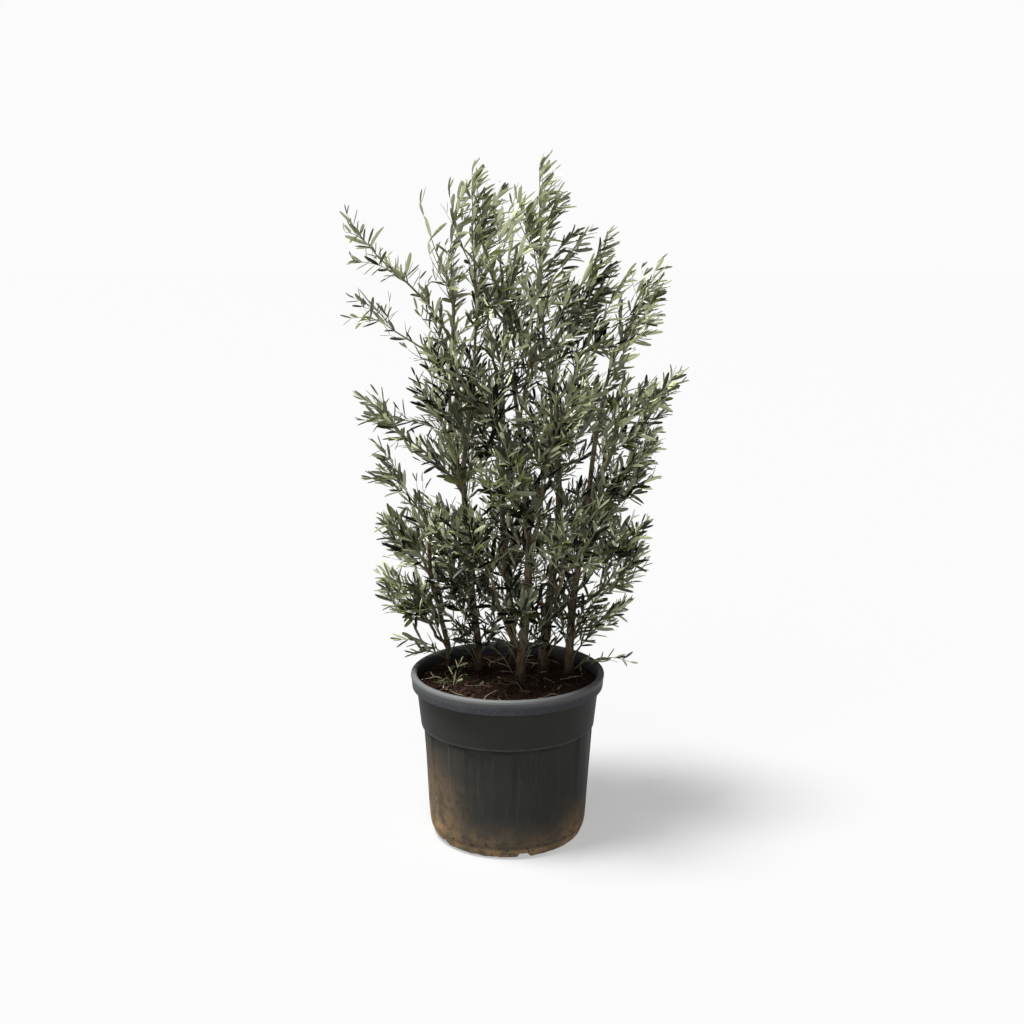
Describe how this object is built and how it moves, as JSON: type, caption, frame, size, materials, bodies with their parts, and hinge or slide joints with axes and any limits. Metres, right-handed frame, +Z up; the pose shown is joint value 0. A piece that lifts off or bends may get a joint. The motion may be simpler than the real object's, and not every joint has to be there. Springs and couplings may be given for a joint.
{
  "type": "potted olive bush",
  "caption": "Many-stemmed olive bush with an upright, airy crown of narrow grey-green leaves, growing in a round dark plastic nursery pot filled with soil.",
  "frame": {"origin": "centre of the pot's flat underside", "axes": "+Z up along the stems; +X to the right as the bush is seen from its front; +Y away from the viewer"},
  "size_m": [1.0555, 0.8929, 2.1503],
  "materials": {
    "pot_plastic": "satin",
    "soil": "matte",
    "bark": "matte",
    "foliage": "matte"
  },
  "bodies": {
    "root": {"pot": "pot_plastic", "soil": "soil", "stem_left": "bark", "stem_mid_left": "bark", "stem_centre": "bark", "stem_right_centre": "bark", "stem_right": "bark", "stem_back": "bark", "bough_low_left": "bark", "bough_left_arm": "bark", "bough_top_left": "bark", "bough_front_left": "bark", "bough_front": "bark", "bough_front_right": "bark", "bough_right_low": "bark", "bough_right_arm": "bark", "bough_top_right": "bark", "bough_back_left": "bark", "bough_back_right": "bark", "bough_cut_stub": "bark", "leaves_low_left": "foliage", "leaves_left": "foliage", "leaves_left_shoot": "foliage", "leaves_left_arm": "foliage", "leaves_left_high": "foliage", "leaves_far_left_top": "foliage", "leaves_top_left": "foliage", "leaves_spire_left": "foliage", "leaves_spire_centre": "foliage", "leaves_spire_right": "foliage", "leaves_top_right": "foliage", "leaves_far_right_top": "foliage", "leaves_high_right": "foliage", "leaves_right": "foliage", "leaves_right_mid": "foliage", "leaves_right_low": "foliage", "leaves_front_low_left": "foliage", "leaves_front_low_right": "foliage", "leaves_front_mid": "foliage", "leaves_front_mid_left": "foliage", "leaves_front_mid_right": "foliage", "leaves_front_top": "foliage", "leaves_inner_left": "foliage", "leaves_inner_centre": "foliage", "leaves_inner_right": "foliage", "leaves_back_low_left": "foliage", "leaves_back_low": "foliage", "leaves_back_low_right": "foliage", "leaves_back_mid_left": "foliage", "leaves_back_mid_right": "foliage", "leaves_back_top": "foliage"}
  },
  "joints": []
}
